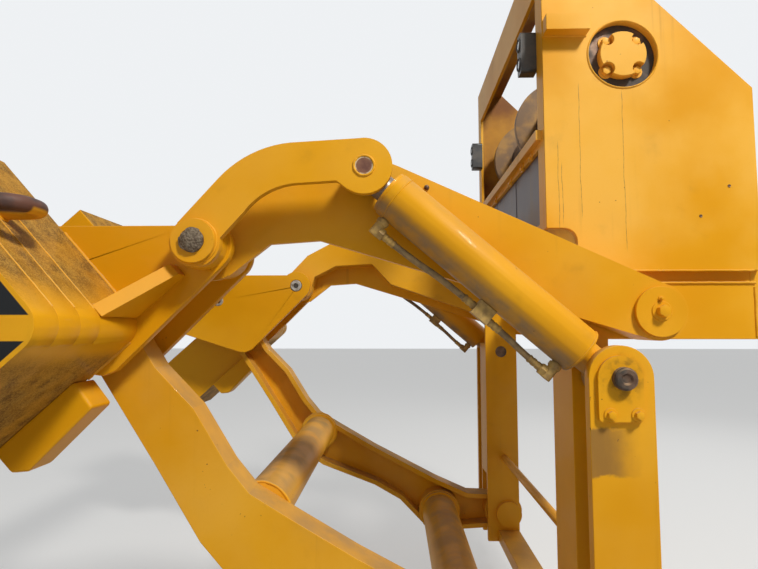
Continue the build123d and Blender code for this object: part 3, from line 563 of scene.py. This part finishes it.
# Side wall of the winch frame: a window over a sill rail, and below it panels of thin sheet in pale grey
# paint, held by small tabs and bolts. They are matt with dust that has run down in the rain.
panel_finish, panel_place = open_finish("grey_panel")[:2]
panel_cloud = panel_place.noise(3, 5)
panel_runs = panel_place.noise(1.0, 5, (30, 30, 1.5)).rise(0.5, 0.75) * 0.5
panel_colour = panel_cloud.rise(0.3, 0.7).blend((0.185, 0.175, 0.190), (0.235, 0.222, 0.230))
panel_colour = panel_runs.blend(panel_colour, (0.26, 0.19, 0.12))
panel_low = 1 - panel_place.part("Z").rise(0.40, 0.56)
panel_low = panel_low * panel_place.noise(8, 5).rise(0.3, 0.7) * 0.6
panel_colour = panel_low.blend(panel_colour, tan_dust)
panel_relief = panel_cloud * 0.4 + panel_place.noise(60, 2) * 0.1
panel_surface = {"Base Color": panel_colour, "Roughness": 0.55 + panel_low * 0.3}
close_finish(panel_place, panel_relief, 0.2, 0.002, panel_surface)
dress(panel_finish, "winch_side_panel", edge=0.001)



def slat(shape, size, place):
    """A small flat bar of a size, with its middle at place."""
    before = set(shape.verts)
    bmesh.ops.create_cube(shape, size=1)
    fresh = [point for point in shape.verts if point not in before]
    bmesh.ops.scale(shape, vec=size, verts=fresh)
    bmesh.ops.translate(shape, vec=place, verts=fresh)


panel_face = -0.7832
seams = bmesh.new()
for y in (-0.20, 0.28):
    slat(seams, (0.004, 0.022, 0.298), (panel_face - 0.0015, y, 0.555))
soften(seams, seams.edges[:], 0.0012)
stand("panel_seam_strips", seams, "side_frame", panel_finish)

tabs = bmesh.new()
button = ((0, 0), (0.009, 0), (0.009, 0.004), (0.006, 0.007), (0, 0.007))
for y in (-0.585, -0.43, -0.19, 0.19, 0.43, 0.585):
    slat(tabs, (0.005, 0.034, 0.050), (-0.8055, y, 0.715))
    turned(tabs, button, (-0.808, y, 0.702), (-1, 0, 0), 16)
stand("panel_tabs", tabs, "side_frame", frame_paint)


# Work lamps: moulded dark housings with two clear lenses, one on each corner of the side wall.
lamp_finish, lamp_place, lamp_facing = open_finish("lamp_plastic")
lamp_grain = lamp_place.noise(260, 2)
lamp_dust = lamp_place.noise(14, 5).rise(0.4, 0.7) * 0.35 + lamp_facing.part("Z").rise(0.3, 0.9) * 0.4
lamp_colour = lamp_dust.blend((0.020, 0.021, 0.022), (0.16, 0.13, 0.09))
lamp_surface = {"Base Color": lamp_colour, "Roughness": 0.38 + lamp_dust * 0.4}
close_finish(lamp_place, lamp_grain, 0.25, 0.0006, lamp_surface)
lens_finish, lens_place = open_finish("lamp_lens")[:2]
lens_lines = lens_place.part("Z").maths("PINGPONG", lens_place.part("Z"), 0.003) * 300
lens_colour = lens_place.noise(20, 4).rise(0.4, 0.7).blend((0.32, 0.38, 0.42), (0.24, 0.26, 0.26))
lens_surface = {"Base Color": lens_colour, "Roughness": 0.12, "Coat Weight": 1.0}
close_finish(lens_place, lens_lines, 0.5, 0.001, lens_surface)
dress(lamp_finish, "work_lamps", edge=0.004)

lamp_front = -0.865
lenses = bmesh.new()
bezels = bmesh.new()
dome = ((0, 0.0045), (0.012, 0.004), (0.021, 0.0015), (0.0225, 0.0003), (0, 0.0003))
bezel = (
    (0.0228, 0.0003), (0.0228, 0.004), (0.025, 0.006),
    (0.0275, 0.004), (0.028, 0.0003), (0.0228, 0.0003),
)
for side in side_signs:
    for z in (1.066, 1.146):
        lens_middle = (lamp_front, side * 0.665, z)
        turned(lenses, dome, lens_middle, (-1, 0, 0), 40)
        turned(bezels, bezel, lens_middle, (-1, 0, 0), 40)
stand("lamp_lenses", lenses, "side_frame", lens_finish)
stand("lamp_bezels", bezels, "side_frame", lamp_finish)


# Rope drum: a fabricated steel barrel between flanges, on bearings in the end plates. Its paint is worn
# through by rope, so the barrel shows rusty grooves that the rope has polished.
drum_finish, drum_place = open_finish("worn_drum")[:2]
groove = drum_place.part("Y").maths("PINGPONG", drum_place.part("Y"), 0.011) * 90
core = 1 - drum_place.reach((drum_centre[0], 0, drum_centre[1])).rise(0.133, 0.138)
drum_mottle = drum_place.noise(9, 7)
drum_colour = drum_mottle.rise(0.40, 0.62).blend((0.34, 0.170, 0.020), (0.150, 0.075, 0.020))
drum_core = drum_mottle.rise(0.35, 0.7).blend((0.13, 0.075, 0.045), (0.055, 0.032, 0.022))
drum_colour = core.blend(drum_colour, drum_core)
drum_relief = groove * core + drum_mottle * 0.3
drum_surface = {"Base Color": drum_colour, "Roughness": 0.55, "Metallic": core * 0.5}
close_finish(drum_place, drum_relief, 0.7, 0.006, drum_surface)
dress(drum_finish, "rope_drum")
casting = greased_steel("dark_casting", crust=0.85)
dress(casting, "drum_bearings")


# Upper link, on each side: a main arm welded up as a box, with a machined boss at each pin, and outside the
# rod's eye a curved cheek plate. Paint covers all but the pin ends, and the arch above the cheek is chalky.
outer_pin = (-2.012, 0.275)
rod_pin = (-1.472, 0.518)
arm_paint = painted("arm_paint", dust=0.45, chalk=0.35, runs=0.25)
cheek_paint = painted("cheek_paint", dust=0.35, chalk=0.30, runs=0.15)
dress(arm_paint, "main_arms")
dress(cheek_paint, "cheek_plates", edge=0.004)
rod_pin_steel, rod_pin_place = open_finish("rod_pin_steel")[:2]
rusted = rod_pin_place.noise(30, 6)
rod_pin_colour = rusted.rise(0.35, 0.65).blend((0.115, 0.040, 0.022), (0.200, 0.085, 0.045))
flaked = rod_pin_place.reach((rod_pin[0], 0, rod_pin[1])).rise(0.0235, 0.0275)
flaked = flaked * rod_pin_place.noise(45, 4).rise(0.42, 0.52)
rod_pin_colour = flaked.blend(rod_pin_colour, (0.60, 0.48, 0.28))
rod_pin_surface = {"Base Color": rod_pin_colour, "Roughness": 0.6, "Metallic": 0.15}
close_finish(rod_pin_place, rusted, 0.5, 0.001, rod_pin_surface)
dress(rod_pin_steel, "rod_pins", edge=0.002)
dress(pin_steel, "outer_pins")

cheek_face = 1.115
crust_finish, crust_place = open_finish("grease_crust")[:2]
crumbs = crust_place.noise(150, 6)
crust_colour = crumbs.rise(0.38, 0.62).blend((0.115, 0.085, 0.060), (0.230, 0.185, 0.130))
crust_surface = {"Base Color": crust_colour, "Roughness": 0.9, "Specular IOR Level": 0.1}
close_finish(crust_place, crumbs, 1.0, 0.005, crust_surface)
pin_crust = bmesh.new()
lump = ((0, 0.013), (0.014, 0.012), (0.026, 0.008), (0.034, 0.004), (0.039, 0.0005), (0, 0.0004))
for side in side_signs:
    turned(pin_crust, lump, (outer_pin[0], side * 1.1455, outer_pin[1]), (0, side, 0), 56, lumps=0.0055)
stand("dried_grease_on_outer_pins", pin_crust, "upper_link", crust_finish, 60)

pale_steel, pale_place = open_finish("pale_steel")[:2]
pale_mottle = pale_place.noise(60, 5)
pale_colour = pale_mottle.rise(0.4, 0.7).blend((0.44, 0.42, 0.38), (0.22, 0.18, 0.13))
pale_surface = {"Base Color": pale_colour, "Roughness": 0.5, "Metallic": 0.2}
close_finish(pale_place, pale_mottle, 0.3, 0.001, pale_surface)
inner_rings = bmesh.new()
end_ring = (
    (0.016, 0.0003), (0.017, 0.006), (0.032, 0.0065),
    (0.035, 0.004), (0.036, 0.0003), (0.016, 0.0003),
)
for side in side_signs:
    turned(inner_rings, end_ring, (outer_pin[0], side * 0.715, outer_pin[1]), (0, -side, 0), 40)
stand("outer_pin_end_rings", inner_rings, "upper_link", pale_steel)

arm_welds = []
for side in side_signs:
    arm_welds.append(ring_run(rod_pin, 0.0325, side * (cheek_face + 0.0008)))
    arm_welds.append(ring_run(outer_pin, 0.0715, side * (cheek_face + 0.001)))
    high_foot = ((-1.393, 0.290), (-1.519, 0.425), (-1.760, 0.412), (-1.900, 0.340))
    arm_welds.append([(x, side * 0.9215, z - 0.002) for x, z in high_foot])
bead("arm_welds", "upper_link", arm_welds, 0.004, arm_paint)

arm_nipples = bmesh.new()
stub = ((0, 0), (0.009, 0), (0.009, 0.006), (0.005, 0.010), (0, 0.011))
for side in side_signs:
    turned(arm_nipples, stub, (-1.262, side * 0.9452, 0.488), (0, side, 0), 20)
stand("arm_grease_nipples", arm_nipples, "upper_link", pin_steel)


# Hydraulic cylinders: a honed tube with a welded base eye, painted yellow, and a chromed rod that runs in a
# screwed gland. Base and gland are closed by machine-laid welds, and dust sticks where oil has wept.
base_pin = Vector((-0.685, 0, -0.152))
up_the_rod = (Vector((rod_pin[0], 0, rod_pin[1])) - base_pin).normalized()
underneath = Vector((up_the_rod.z, 0, -up_the_rod.x)) * -1
cylinder_y = 1.030
barrel_paint = painted("barrel_paint", dust=0.55, chalk=0.15, runs=0.12, caked=tuple(underneath))
chrome, chrome_place = open_finish("rod_chrome")[:2]
wiped = chrome_place.noise(8, 6).rise(0.45, 0.75)
chrome_colour = (0.50 + wiped * 0.50).blend((0.42, 0.40, 0.37), (0.20, 0.135, 0.075))
chrome_rough = 0.30 + wiped * 0.40
chrome_surface = {"Base Color": chrome_colour, "Roughness": chrome_rough, "Metallic": 0.55 - wiped * 0.45}
close_finish(chrome_place, chrome_place.noise(200, 2), 0.05, 0.0005, chrome_surface)

gland = (
    (0.0455, 0), (0.0740, 0), (0.0745, 0.001), (0.0745, 0.0115),
    (0.0735, 0.0125), (0.0470, 0.0128), (0.0455, 0.012), (0.0455, 0),
)
for side, end in zip(side_signs, ("front", "rear")):
    dress(barrel_paint, f"{end}_cylinder_barrel")
    dress(chrome, f"{end}_cylinder_rod", edge=0.002)
    base = base_pin + Vector((0, side * cylinder_y, 0))
    glands = bmesh.new()
    turned(glands, gland, base + up_the_rod * 0.9205, up_the_rod, 48)
    stand(f"{end}_gland_nut", glands, f"{end}_barrel", barrel_paint, 30)
    closing = []
    for reach in (0.1235, 0.893):
        turns = [Matrix.Rotation(turn * pi / 24, 3, up_the_rod) for turn in range(49)]
        ring = [base + up_the_rod * reach + turn @ underneath * 0.0788 for turn in turns]
        closing.append([tuple(point) for point in ring])
    bead(f"{end}_barrel_welds", f"{end}_barrel", closing, 0.0028, barrel_paint, ripple=0.1)


# Hoses: rubber over steel wire, held by crimped sleeves and swivel nuts at an elbow on each port, and by one
# clamp block under the barrel. They were oversprayed yellow once and are brown with dust now.
hose_finish, hose_place = open_finish("dusty_hose")[:2]
hose_mottle = hose_place.noise(30, 6)
hose_colour = hose_mottle.rise(0.35, 0.65).blend((0.36, 0.235, 0.095), (0.185, 0.125, 0.060))
hose_worn = hose_place.noise(55, 3).rise(0.62, 0.72)
hose_colour = (hose_worn * 0.7).blend(hose_colour, (0.030, 0.026, 0.022))
hose_relief = hose_mottle * 0.4 + hose_place.noise(260, 2) * 0.4
close_finish(hose_place, hose_relief, 0.5, 0.0012, {"Base Color": hose_colour, "Roughness": 0.72})

fitting_finish, fitting_place = open_finish("dusty_fittings")[:2]
fitting_mottle = fitting_place.noise(40, 6)
fitting_colour = fitting_mottle.rise(0.35, 0.65).blend((0.52, 0.330, 0.090), (0.30, 0.185, 0.060))
fitting_surface = {"Base Color": fitting_colour, "Roughness": 0.65}
close_finish(fitting_place, fitting_mottle, 0.4, 0.001, fitting_surface)

hose_runs = {
    "rod_hose": ((0.124, 0.846), (0.124, 0.740), (0.108, 0.600), (0.108, 0.470)),
    "base_hose": ((0.124, 0.186), (0.124, 0.250), (0.117, 0.330), (0.117, 0.405)),
}
nut_high = 0.020
nut_corner = 0.036 * 0.577
elbow_reach = {"rod_hose": 0.880, "base_hose": 0.152}
collar = (
    (0.0185, 0), (0.0215, 0), (0.0220, 0.002), (0.0220, 0.012),
    (0.0200, 0.015), (0.0185, 0.015), (0.0185, 0),
)
sleeve = (
    (0, 0), (0.0128, 0), (0.0135, 0.002), (0.0135, 0.012), (0.0120, 0.014), (0.0120, 0.018),
    (0.0135, 0.020), (0.0135, 0.030), (0.0120, 0.032), (0.0120, 0.036), (0.0135, 0.038), (0.0135, 0.044),
    (0.0122, 0.046), (0, 0.046),
)
for side, end in zip(side_signs, ("front", "rear")):
    dress(fitting_finish, f"{end}_hose_fittings", edge=0.002)
    base = base_pin + Vector((0, side * cylinder_y, 0))
    sleeves = bmesh.new()
    nuts = bmesh.new()
    for hose_name, route in hose_runs.items():
        places = [base + up_the_rod * reach + underneath * out for out, reach in route]
        line = bpy.data.curves.new(f"{end}_{hose_name}_line", "CURVE")
        line.dimensions = "3D"
        line.bevel_depth = 0.011
        line.bevel_resolution = 5
        line.use_fill_caps = True
        spline = line.splines.new("NURBS")
        spline.points.add(len(places) - 1)
        for point, place in zip(spline.points, places):
            point.co = (*place, 1)
        spline.order_u = 3
        spline.use_endpoint_u = True
        spline.resolution_u = 16
        line.materials.append(hose_finish)
        hose = bpy.data.objects.new(f"{end}_{hose_name}_rubber", line)
        bpy.context.scene.collection.objects.link(hose)
        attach(hose, f"{end}_barrel")
        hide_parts(f"{end}_{hose_name}")
        for end_place, next_place in ((places[0], places[1]), (places[-1], places[-2])):
            run = (next_place - end_place).normalized()
            turned(sleeves, sleeve, end_place + run * 0.0005, run, 28)
        before = set(nuts.verts)
        size = {"segments": 6, "radius1": nut_corner, "radius2": nut_corner, "depth": nut_high}
        bmesh.ops.create_cone(nuts, cap_ends=True, **size)
        fresh = [point for point in nuts.verts if point not in before]
        edges = {edge for point in fresh for edge in point.link_edges}
        rims = [edge for edge in edges if abs(edge.verts[0].co.z - edge.verts[1].co.z) < 0.001]
        soften(nuts, rims, 0.0022)
        fresh = [point for point in nuts.verts if point not in before]
        bmesh.ops.translate(nuts, verts=fresh, vec=(0, 0, nut_high / 2))
        run = places[1] - places[0]
        settle(nuts, fresh, places[0] - run.normalized() * 0.022, run)
        elbow_out = base + up_the_rod * elbow_reach[hose_name] + underneath * 0.084
        turned(nuts, collar, elbow_out, underneath, 28)
    stand(f"{end}_hose_sleeves", sleeves, f"{end}_barrel", fitting_finish, 30)
    stand(f"{end}_swivel_nuts", nuts, f"{end}_barrel", fitting_finish, 25)


# Counterweight: sections flame-cut from thick plate and stacked on the carrier. The end faces are painted
# with glossy black bands, the cut faces are brown with dust, and thin welds run up the joints between slabs.
# The welds are pale partly from dust and chalking and partly as a painted highlight along each joint.
slab_paint = painted("slab_paint", dust=0.10, chalk=0.05, runs=0.30, soil=0.92, striped=True)
block_paint = painted("block_paint", dust=0.10, chalk=0.05, runs=0.30, soil=0.92)
dress(slab_paint, "end_slabs", edge=0.004)
dress(block_paint, "carrier_blocks", "middle_block", "carrier_cross_beam", edge=0.004)

# Pale weld paint: partly dust and chalking, and partly a painted highlight for the bright edge along each
# joint.
scraped_and_highlit_weld = painted("scraped_weld_and_painted_highlight", dust=0.9, chalk=1.0, runs=0.1)
slab_pitch = 0.0983
slab_joints = [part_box("carrier_blocks")[1][1] + 0.0002 + slab_pitch * step for step in range(3)]
slab_welds = []
for side in side_signs:
    for y in slab_joints:
        flat = Vector((0, side * y, 0))
        slab_welds.append([tuple(nose + flat + up_face * reach) for reach in (0.075, 0.78)])
bead("slab_joint_welds", "carrier", slab_welds, 0.0026, scraped_and_highlit_weld, ripple=0.35)


# Lifting eyes: a round bar bent to a level U on each pack of slabs, its legs cut to the upper face and welded
# to it all round. It has rusted, and some yellow overspray is left underneath.
eye_finish, eye_place, eye_facing = open_finish("rusty_eye_bar")
eye_mottle = eye_place.noise(22, 7)
eye_colour = eye_mottle.rise(0.38, 0.62).blend((0.055, 0.024, 0.016), (0.110, 0.040, 0.022))
under_eye = 1 - eye_facing.part("Z").rise(-0.55, -0.1)
under_eye = under_eye * (1 - eye_place.part("Y").size().rise(1.42, 1.43))
eye_colour = (under_eye * 0.9).blend(eye_colour, fresh_paint)
close_finish(eye_place, eye_mottle, 0.7, 0.004, {"Base Color": eye_colour, "Roughness": 0.62})
dress(eye_finish, "lifting_eyes")
eye_radius = 0.022
eye_height = 0.326
eye_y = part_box("lifting_eyes")[1][1] - eye_radius
eye_welds = []
turns = [turn * pi / 12 for turn in range(25)]
for side in side_signs:
    for y in (eye_y, eye_y - 0.140):
        foot = nose + Vector((0, side * y, 0)) + up_face * (eye_height / up_face.z)
        ring = [foot + Vector((0, 0.023 * cos(turn), 0)) + up_face * (0.031 * sin(turn)) for turn in turns]
        eye_welds.append([tuple(point) for point in ring])
bead("eye_bar_welds", "carrier", eye_welds, 0.006, scraped_and_highlit_weld, ripple=0.4)


# Carrier: two ears on each side, a gusset and a stop lug, all of plate welded to the inner blocks. The outer
# pin turns in the ears between turned bosses, where grease creeps out and collects dust.
link_pin = (-2.522, 0.177)
ear_paint = painted("ear_paint", dust=0.35, chalk=0.05, runs=0.2)
lug_paint = painted("lug_paint", dust=0.25, chalk=0.0, runs=0.15)
dress(ear_paint, "outer_ears", "inner_ears", "carrier_gussets", edge=0.003)
dress(lug_paint, "stop_lugs", edge=0.010)

ear_rings = bmesh.new()
hole_ring = (
    (0.0185, 0.0003), (0.019, 0.005), (0.030, 0.0055),
    (0.033, 0.003), (0.034, 0.0003), (0.0185, 0.0003),
)
for side in side_signs:
    for y, axis in ((0.715, -side), (1.025, side)):
        turned(ear_rings, hole_ring, (link_pin[0], side * y, link_pin[1]), (0, axis, 0), 36)
stand("ear_hole_rings", ear_rings, "carrier", pale_steel)

ear_welds = []
for side in side_signs:
    flat = Vector((0, side * 1.0265, 0))
    ear_welds.append([tuple(nose + flat + up_face * reach) for reach in (0.07, 0.43)])
    ear_welds.append([tuple(nose + flat + down_face * reach) for reach in (0.07, 0.25)])
    ear_welds.append([(-2.260, side * 1.250, 0.067), (-2.260, side * 1.030, 0.067)])
    ear_welds.append([(-2.260, side * 1.027, 0.067), (-2.103, side * 1.027, 0.209)])
bead("ear_welds", "carrier", ear_welds, 0.0055, scraped_and_highlit_weld, ripple=0.35)


# Lower link: on each side a kinked arm, a channel of thick plate that opens inwards, and between the arms two
# tubes with collars. A rough hand weld joins each arm to the forged eye at its outer end.
link_paint = painted("link_paint", dust=0.8, chalk=0.45, runs=0.35)
dress(link_paint, "link_arms", "outer_cross_tube", "inner_cross_tube")
dress(pin_steel, "link_pins")
seam_steel = greased_steel("rusty_seam", crust=0.35)
seam = ((-2.392, 0.150), (-2.398, 0.02), (-2.388, -0.09), (-2.392, -0.165))
seam_runs = [[(x, side * 0.931, z) for x, z in seam] for side in side_signs]
bead("arm_end_seam", "lower_link", seam_runs, 0.010, seam_steel, ripple=0.7)

link_welds = []
for side in side_signs:
    for centre, radius in (((-1.863, -0.668), 0.113), ((-1.085, -1.170), 0.126)):
        link_welds.append(ring_run(centre, radius, side * 0.799, 48))
bead("cross_tube_welds", "lower_link", link_welds, 0.0055, link_paint, ripple=0.3)
